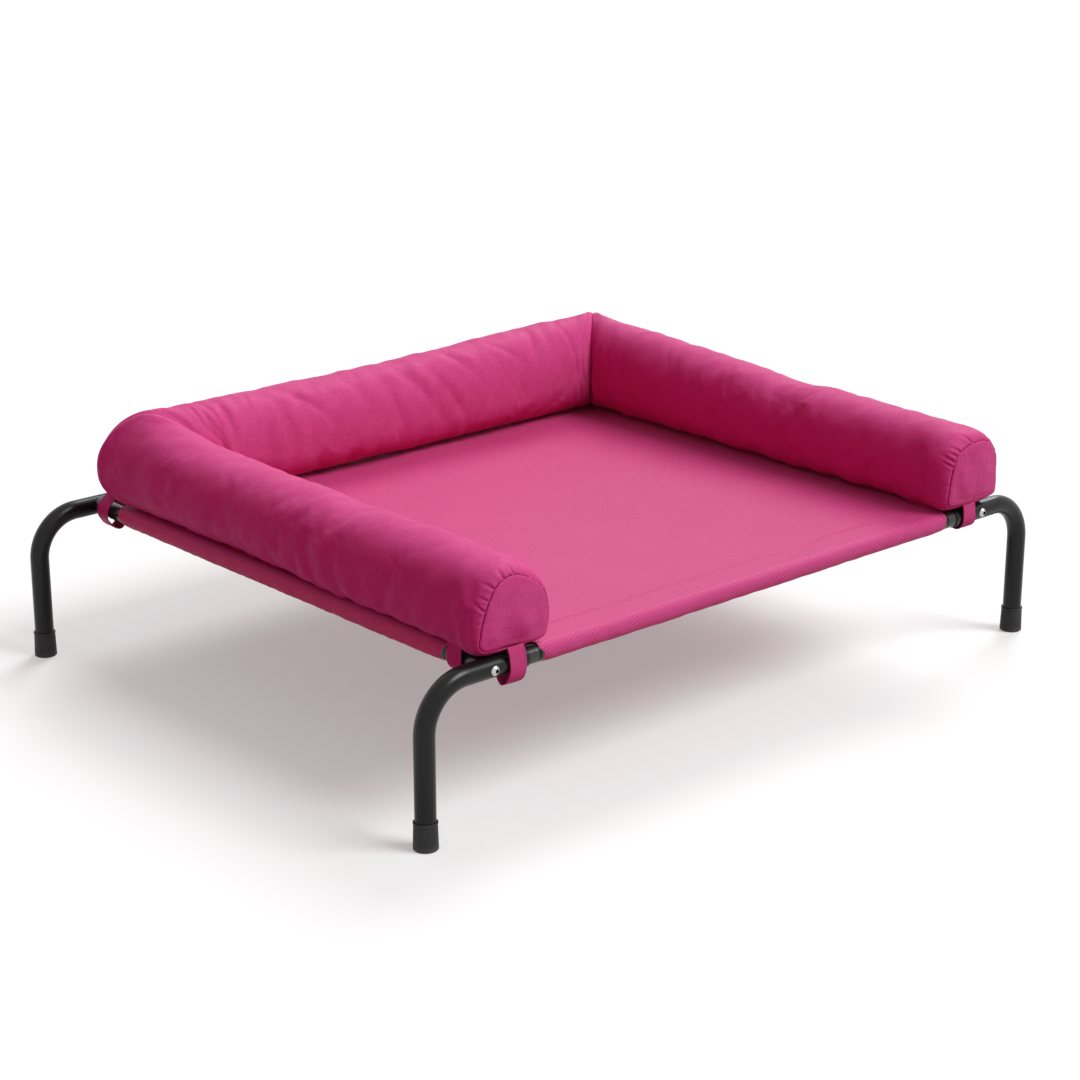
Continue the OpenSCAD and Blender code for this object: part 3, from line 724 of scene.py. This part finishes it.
share = np.broadcast_to(np.arange(AROUND) / AROUND, roll.shape[:2])
place_s = np.broadcast_to(stations[:, None], roll.shape[:2])
round_m = share * girth[:, -1:].mean()
depth = 0.55 * mm * waves(place_s, round_m, 31, 70 * mm) + 0.35 * mm * waves(place_s, round_m, 32, 34 * mm)


def crease(off, wide):
    """A pinched fold across a line: a sharp valley between two low ridges."""
    t = np.abs(off) / wide
    return np.exp(-(t ** 1.3)) - 0.32 * bell((t - 2.2) / 1.3)


GIRTH = 330 * mm


def pinched(where, middle, tilt, reach, deep, wide):
    """The depth of one crease about a place, with its slant, reach, depth and width drawn from these spans."""
    off = place_s - where + draw.uniform(-tilt, tilt) * (share - middle) * GIRTH
    spread = bell((share - middle) / draw.uniform(*reach))
    return draw.uniform(*deep) * mm * crease(off, draw.uniform(*wide) * mm) * spread


draw = np.random.default_rng(41)
PLEATS = {
    -1: [
        (0.193, 1.0, 1.2, 5), (0.262, 0.8, 1.1, 5), (0.308, 2.0, 1.2, 7), (0.349, 1.8, 1.1, 6), (0.396, 2.4, 1.2, 8),
        (0.447, 2.6, 1.5, 7), (0.494, 2.2, 1.4, 7), (0.54, 1.0, 1.1, 5), (0.582, 2.4, 1.5, 8), (0.66, 1.5, 1.3, 7),
        (0.74, 1.2, 1.1, 6), (0.82, 0.8, 1.2, 5),
    ],
    1: [
        (0.18, 0.9, 1.2, 5), (0.27, 1.2, 1.1, 6), (0.34, 1.6, 1.3, 7), (0.415, 2.2, 1.4, 8), (0.47, 1.0, 1.1, 5),
        (0.533, 2.4, 1.6, 9), (0.575, 1.0, 1.1, 5), (0.61, 2.4, 1.2, 9), (0.636, 1.8, 1.1, 7), (0.662, 2.4, 1.2, 11),
        (0.685, 1.6, 1.1, 9), (0.76, 0.8, 1.1, 5), (0.83, 0.8, 1.2, 5),
    ],
}
for end, pleats in PLEATS.items():
    gone = place_s if end < 0 else FULL_RUN - place_s
    for at, deep, wide, long in pleats:
        off = (share - at) * 0.32 + draw.uniform(-0.4, 0.4) * gone
        behind = np.clip((gone - 0.4 * mm) / (0.8 * mm), 0, 1)
        fold = crease(off, wide * mm * (1 + gone / (16 * mm)))
        depth = depth - deep * mm * fold * behind * np.exp(-((gone / (long * mm)) ** 1.6))

for row, spread in zip(mitre_rows, ((-70, 80), (-60, -5))):
    gap = np.abs(place_s - stations[row])
    inner = np.clip(np.sin(2 * math.pi * (share - 0.5)), 0, 1)
    top = np.sin(math.pi * share) ** 6
    depth = depth - (0.8 + 2.4 * inner + 0.5 * top) * mm * np.exp(-gap / (1.8 * mm))
    depth = depth - 1.2 * mm * inner * bell(gap / (7 * mm))
    for k in range(8):
        middle = draw.uniform(0.52, 0.78)
        where = stations[row] + draw.uniform(*spread) * mm
        depth = depth - pinched(where, middle, 0.5, (0.05, 0.11), (0.6, 1.7), (2.2, 5))

for k in range(16):
    where, middle = ARM_RUN + (60 + 45 * k + draw.uniform(-14, 14)) * mm, draw.uniform(0.56, 0.74)
    depth = depth - pinched(where, middle, 1.3, (0.06, 0.11), (1.0, 2.4), (5, 10))

for k in range(34):
    where = draw.uniform(80 * mm, FULL_RUN - 80 * mm)
    middle = draw.uniform(0.56, 0.80) if ARM_RUN < where < ARM_RUN + BACK_RUN else draw.uniform(0.15, 0.82)
    across = (place_s - where) + draw.uniform(-0.6, 0.6) * (share - middle) * 0.35
    wide = draw.uniform(5, 12) * mm
    fold = bell(across / wide) - 0.55 * bell((across - 1.9 * wide) / (1.5 * wide))
    depth = depth - draw.uniform(0.4, 1.3) * mm * fold * bell((share - middle) / draw.uniform(0.05, 0.13))

for k in range(90):
    where = draw.uniform(45 * mm, FULL_RUN - 45 * mm)
    middle = draw.uniform(0.50, 0.82) if ARM_RUN < where < ARM_RUN + BACK_RUN else draw.uniform(0.12, 0.85)
    depth = depth - pinched(where, middle, 0.8, (0.03, 0.09), (0.25, 0.85), (2.2, 4.5))

roll = roll + normals * depth[..., None]
open_x = np.clip(1 - ((np.abs(roll[..., 0]) - 391 * mm) / (27 * mm)) ** 14, 0, 1)
open_y = np.clip(1 - ((roll[..., 1] + 366 * mm) / (25 * mm)) ** 14, 0, 1)
roll[..., 2] = np.maximum(roll[..., 2], REST_Z)
under = np.clip(1 - (roll[..., 2] - REST_Z) / (6 * mm), 0, 1)
roll[..., 2] -= 13 * mm * open_x * open_y * under

slub_tree, asked, put = new_group("Uneven yarns", {"Place": (0.0, 0.0, 0.0), "Tone": 0.5}, ["Tone"])
total = asked.outputs["Tone"]
for pace in ((620.0, 45.0, 1.0), (45.0, 620.0, 1.0)):
    spun = place(slub_tree, "ShaderNodeVectorMath", {0: asked.outputs["Place"], 1: pace}, operation="MULTIPLY")
    total = math_node(slub_tree, "MULTIPLY_ADD", noise(slub_tree, spun.outputs[0], 1.0, 1.0), 1.2, total)
slub_tree.links.new(math_node(slub_tree, "SUBTRACT", total, 1.2), put.inputs["Tone"])


def plain_weave(name, patches, threads, gap, shade_tint, depth):
    """Canvas: how fine its patches of tone are, its shades, the tint of its painted shade where it faces from the
    light, its relief.
    """
    finish, tree, shader = new_finish(name)
    uv = place(tree, "ShaderNodeTexCoord").outputs["UV"]
    height = used(tree, weave_tree, {"Place": uv, "Warp": 1350.0, "Weft": 1200.0})["Height"]
    tone = used(tree, slub_tree, {"Place": uv, "Tone": used(tree, tone_tree, patches)["Tone"]})["Tone"]
    colour = mixed(tree, ranged(tree, height, 0.0, 1.0, 0.0, 0.6), gap, mixed(tree, tone, *threads))
    dress(shader, tree, {
        "Base Color": apply_painted_shade(tree, colour, shade_tint), "Roughness": ranged(tree, height, 0.52, 0.40),
        "Normal": relief(tree, height, depth),
    }, {
        "Specular IOR Level": 0.05, "Sheen Weight": 0.03, "Sheen Roughness": 0.40,
        "Sheen Tint": (0.95, 0.60, 0.90, 1.0),
    })
    return finish


# The last colour is the tint of the painted shade on canvas turned away from the light.
canvas = plain_weave(
    "bolster_canvas", {"Cloud": 12.0, "Slub": 230.0}, [(0.57, 0.052, 0.205), (0.71, 0.084, 0.285)],
    (0.42, 0.028, 0.136), (0.96, 0.27, 0.66), 0.07 * mm,
)


def closed_roll(name, rings, uv):
    """A closed piece from a run of rings: the cloth round it, and a flat end inside each seam."""
    rows, columns = rings.shape[:2]
    points = [rings.reshape(-1, 3)]
    faces = grid_faces(rows, columns, around=True)
    corner = np.stack(np.meshgrid(np.arange(rows - 1), np.arange(columns), indexing="ij"), axis=-1).reshape(-1, 2)
    i, j = corner[:, 0], corner[:, 1]
    corner_uv = np.stack([uv[i, j], uv[i, j + 1], uv[i + 1, j + 1], uv[i + 1, j]], axis=1).reshape(-1, 2)
    all_faces, all_uv = faces.tolist(), [corner_uv]
    for row, tip in ((0, rows * columns), (rows - 1, rows * columns + 1)):
        points.append(rings[row].mean(axis=0)[None])
        for k in range(columns):
            a, b = row * columns + k, row * columns + (k + 1) % columns
            all_faces.append((tip, a, b) if row else (tip, b, a))
        all_uv.append(np.zeros((3 * columns, 2)))
    return new_piece(name, np.concatenate(points), all_faces, np.concatenate(all_uv), canvas)


cuts = [0, mitre_rows[0], mitre_rows[1], len(stations) - 1]
for name, first, last, nodes in (
    ("left_arm_roll", 0, 1, ("left_arm_cover", "left_arm_stuffing")),
    ("back_roll", 1, 2, ("back_bolster_cover", "back_bolster_stuffing")),
    ("right_arm_roll", 2, 3, ("right_arm_cover", "right_arm_stuffing")),
):
    rows = slice(cuts[first], cuts[last] + 1)
    uv = np.stack([girth[rows], np.broadcast_to(stations[rows, None], girth[rows].shape)], axis=-1)
    piece = closed_roll(name, roll[rows], uv)
    soften(piece, 60)
    bleach(piece)
    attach(piece, "bolster")
    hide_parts(*nodes)

# End panels
# A loaf-shaped patch of the same canvas closes each arm, sewn to the gathered end from inside.
# The stuffing swells it forward a little.
PANEL_IN = np.array([2.0, 1.35, 0.45, 1.0, 2.0, 3.4, 5.5, 8.0]) * mm
PANEL_OUT = np.array([-2.0, -0.55, 0.55, 1.35, 2.0, 2.5, 2.95, 3.35]) * mm
for side, name, node in ((-1, "left_panel_cover", "left_end_panel"), (1, "right_panel_cover", "right_end_panel")):
    edge = roll[0] if side < 0 else roll[-1]
    middle = edge.mean(axis=0)
    inward = (middle - edge) / np.linalg.norm(middle - edge, axis=1, keepdims=True)
    rings = edge + (PANEL_IN[:, None, None] - PANEL_IN[0]) * inward
    rings[..., 1] -= (PANEL_OUT - PANEL_OUT[0])[:, None]
    shrink = np.linspace(0.95, 0.05, 20)[:, None, None]
    middle = rings[-1].mean(axis=0)
    domed = middle + shrink * (rings[-1] - middle)
    domed[..., 1] -= 4.2 * mm * (1 - shrink[..., 0] ** 2)
    rings = np.concatenate([rings, domed])
    calm = np.concatenate([np.zeros(len(PANEL_IN)), 1 - shrink[:, 0, 0] ** 5])[:, None]
    x, z = rings[..., 0], rings[..., 2]
    swell = 1.1 * mm * waves(x, z, 51 + side, 44 * mm) + 0.15 * mm * waves(x, z, 55 + side, 19 * mm)
    rings[..., 1] += calm * swell
    rows, columns = rings.shape[:2]
    faces = grid_faces(rows, columns, around=True).tolist()
    faces.append(tuple((rows - 1) * columns + np.arange(columns)))
    if side < 0:
        faces = [f[::-1] for f in faces]
    points = rings.reshape(-1, 3)
    corner_uv = points[np.concatenate([np.array(f) for f in faces])][:, [0, 2]]
    piece = new_piece(name, points, faces, corner_uv, canvas)
    act_on(piece)
    bpy.ops.object.mode_set(mode="EDIT")
    bpy.ops.mesh.select_all(action="SELECT")
    bpy.ops.mesh.normals_make_consistent(inside=False)
    bpy.ops.object.mode_set(mode="OBJECT")
    if sum(p.normal.y * p.area for p in piece.data.polygons) > 0:
        piece.data.flip_normals()
    thicken(piece, 1.2 * mm)
    soften(piece, 60)
    bleach(piece)
    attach(piece, "bolster")
    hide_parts(node)
    seam = panel_loop(side, 144)

# Straps
# Folded strips of the same canvas, topstitched along both edges and sewn to the bolster's underside.
# They loop round the front leg tubes and the end rails and hold the bolster down.
TAPE_WIDTH, TAPE_THICK = 24 * mm, 1.4 * mm


def smooth_path(stops, step):
    """A smooth line through the stops, cut into even steps."""
    stops = np.asarray(stops, float)
    ends = np.concatenate([[2 * stops[0] - stops[1]], stops, [2 * stops[-1] - stops[-2]]])
    t = np.linspace(0, 1, 21)[:-1, None]
    line = [curve(*four, t) for four in zip(ends[:-3], ends[1:-2], ends[2:-1], ends[3:])]
    line = np.concatenate(line + [stops[-1:]])
    run = run_along(line)
    even = np.linspace(0, run[-1], max(2, round(run[-1] / step)) + 1)
    return np.stack([np.interp(even, run, line[:, k]) for k in range(line.shape[1])], axis=-1)


SLACK = [
    (-12.6, 23), (-14.4, 17), (-15.5, 9), (-16, -2), (-14.6, -12.5), (-9.6, -20.5), (-2.4, -25.6), (2.4, -25.0),
    (7.4, -18.5), (12.6, -8), (15.0, 3), (15.0, 10), (13.0, 13.4),
]
SEWN_HIGH = [(-2, 46), (-8, 34)] + SLACK
LOOSE = [
    (4, 40), (2, 28), (-4.5, 23.5), (-11.5, 15.5), (-16.2, 9), (-17.9, 1), (-17, -6.5), (-12, -13.9),
    (-6.5, -18.8), (-0.7, -22.1), (4.5, -22), (9.5, -17.5), (13, -10), (15, 0), (15, 9), (13, 13.4),
]
SNUG = [
    (-11.6, 23), (-13.8, 17), (-14.9, 8), (-15.1, -2), (-12.8, -9.4), (-7.6, -14.4), (0, -16.8), (7.6, -14.2),
    (12.8, -8.6), (15.0, 0), (15.0, 9.5), (13.0, 13.4),
]
# The last colour is the tint of the painted shade on tape turned away from the light.
tape = plain_weave(
    "strap_tape", {"Cloud": 40.0, "Slub": 260.0}, [(0.55, 0.046, 0.185), (0.68, 0.074, 0.258)],
    (0.40, 0.025, 0.123), (0.92, 0.24, 0.61), 0.08 * mm,
)
BACK_LEAN, LEAN_RUN = 20 * mm, 36 * mm
stitches = []


def strap(corner, axis, place_along, centre, stops, outer, lean, seed):
    """A loop of tape; outer is the sign of the side its first stop lies on, across the tube.

    The sewn end leans forward by lean, so that its whole width reaches the roll.
    """
    line = smooth_path(np.array(stops) * mm, 2 * mm)
    run = run_along(line)
    sides = np.array([-1, -0.96, -0.86, -0.5, 0, 0.5, 0.86, 0.96, 1]) * TAPE_WIDTH / 2
    run_grid, side_grid = np.meshgrid(run, sides, indexing="ij")
    tangent = np.gradient(line, axis=0)
    tangent = tangent / np.linalg.norm(tangent, axis=1, keepdims=True)
    away = np.stack([tangent[:, 1], -tangent[:, 0]], axis=-1)
    away = away * np.sign((away * line).sum())
    bow = 0.5 * mm * waves(run_grid, side_grid, seed, 30 * mm) * np.sin(math.pi * run_grid / run[-1])
    bow = bow - 0.25 * mm * bell((np.abs(side_grid) - 9.2 * mm) / (0.9 * mm))
    across = centre[0] - outer * (line[:, None, 0] + bow * away[:, None, 0])
    up = centre[1] + line[:, None, 1] + bow * away[:, None, 1]
    lengthwise = place_along + side_grid + 1.2 * mm * waves(run_grid, 0 * run_grid, seed + 5, 90 * mm)
    lengthwise = lengthwise - lean * np.clip(1 - run_grid / LEAN_RUN, 0, 1) ** 2
    points = np.stack([lengthwise, across, up] if axis == "X" else [across, lengthwise, up], axis=-1)
    uv = np.stack([side_grid, run_grid], axis=-1)
    faces = grid_faces(*run_grid.shape)
    piece = new_piece(f"{corner}_tape", points.reshape(-1, 3), faces, uv.reshape(-1, 2)[faces.ravel()], tape)
    middle = Vector((place_along, *centre) if axis == "X" else (centre[0], place_along, centre[1]))
    facing = sum((p.center - middle).dot(p.normal) * p.area for p in piece.data.polygons)
    if facing < 0:
        piece.data.flip_normals()
    thicken(piece, TAPE_THICK)
    soften(piece, 50)
    bleach(piece)
    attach(piece, "bolster")
    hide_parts(f"{corner}_strap")
    level = np.array([0, 1.0, 0] if axis == "X" else [1.0, 0, 0])
    outs, runs = (-outer * way[:, :1] * level + way[:, 1:] * np.array([0, 0, 1.0]) for way in (away, tangent))
    every = np.arange(3, len(line) - 2, 2)
    for row in (1, 6):
        places = 0.5 * (points[:, row] + points[:, row + 1]) + 0.15 * mm * outs
        stitches.append(np.stack([places, runs, outs])[:, every])


for looped in (
    ("front_left_leg", "X", -ARM_X, (-RAIL_Y, RAIL_Z), SLACK, -1, 0, 61),
    ("front_right_leg", "X", ARM_X, (-RAIL_Y, RAIL_Z), SNUG, -1, 0, 62),
    ("front_left_rail", "Y", -361 * mm, (-RAIL_X, RAIL_Z), SNUG, -1, 0, 63),
    ("front_right_rail", "Y", -361 * mm, (RAIL_X, RAIL_Z), SNUG, 1, 0, 64),
    ("back_left_rail", "Y", 364 * mm, (-RAIL_X, RAIL_Z), LOOSE, -1, BACK_LEAN, 65),
    ("back_right_rail", "Y", 357 * mm, (RAIL_X, RAIL_Z), SEWN_HIGH, 1, BACK_LEAN, 66),
):
    strap(*looped)
places, runs, outs = np.concatenate(stitches, axis=1)
sew("strap_stitches", places, runs, outs, (3.0 * mm, 0.6 * mm, 0.6 * mm), "bolster")

# Floor, light and camera
# A white studio sweep under soft light from the right and above, seen from the photograph's viewpoint.
bpy.ops.mesh.primitive_plane_add(size=60)
floor = bpy.context.object
floor.name = "studio_floor"
paper, tree, shader = new_finish("studio_paper")


def seen_directly(tree):
    """1 for what the camera sees itself, in a gloss or through glass, and 0 for light on the object."""
    path = place(tree, "ShaderNodeLightPath")
    seen = math_node(tree, "MAXIMUM", path.outputs["Is Camera Ray"], path.outputs["Is Glossy Ray"])
    return math_node(tree, "MAXIMUM", seen, path.outputs["Is Transmission Ray"])


seen = seen_directly(tree)
dress(shader, tree, {
    "Base Color": mixed(tree, seen, (0.40, 0.40, 0.40), (0.66, 0.66, 0.66)),
    "Emission Strength": ranged(tree, seen, 0.0, 0.32),
}, {"Roughness": 1.0, "Specular IOR Level": 0.0, "Emission Color": (1.0, 1.0, 1.0, 1.0)})
floor.data.materials.append(paper)

world = bpy.data.worlds.new("studio")
bpy.context.scene.world = world
world.use_nodes = True
tree = world.node_tree
background = tree.nodes["Background"]
tree.links.new(mixed(tree, seen_directly(tree), (0.37, 0.32, 0.325), (1.0, 1.0, 1.0)), background.inputs["Color"])
background.inputs["Strength"].default_value = 1.0


def aim(obj, target):
    obj.rotation_euler = (Vector(target) - obj.location).to_track_quat("-Z", "Y").to_euler()


for name, place_at, strength, angle in (
    ("front", (0.36, -0.56, 0.75), 2.2, 30), ("side", (0.66, 0.34, 0.67), 1.5, 26),
):
    bpy.ops.object.light_add(type="SUN", location=[4 * c for c in place_at])
    lamp = bpy.context.object
    lamp.name = name
    lamp.data.energy = strength
    lamp.data.angle = math.radians(angle)
    lamp.data.color = (0.955, 1.0, 0.995)
    aim(lamp, (0, 0, 0))

VIEW_TURN, VIEW_TILT = math.radians(-41.86), math.radians(18.55)
VIEW_REACH, VIEW_TARGET = 3.33965, Vector((-0.00136, -0.01228, 0.150))
back = Vector((
    math.sin(VIEW_TURN) * math.cos(VIEW_TILT), -math.cos(VIEW_TURN) * math.cos(VIEW_TILT), math.sin(VIEW_TILT),
))
camera = bpy.data.objects.new("photo_view", bpy.data.cameras.new("photo_view"))
bpy.context.scene.collection.objects.link(camera)
camera.data.sensor_width = 36
camera.data.lens = 82.69
camera.location = VIEW_TARGET + VIEW_REACH * back
aim(camera, VIEW_TARGET)
bpy.context.scene.camera = camera
bpy.context.scene.view_settings.view_transform = "Standard"
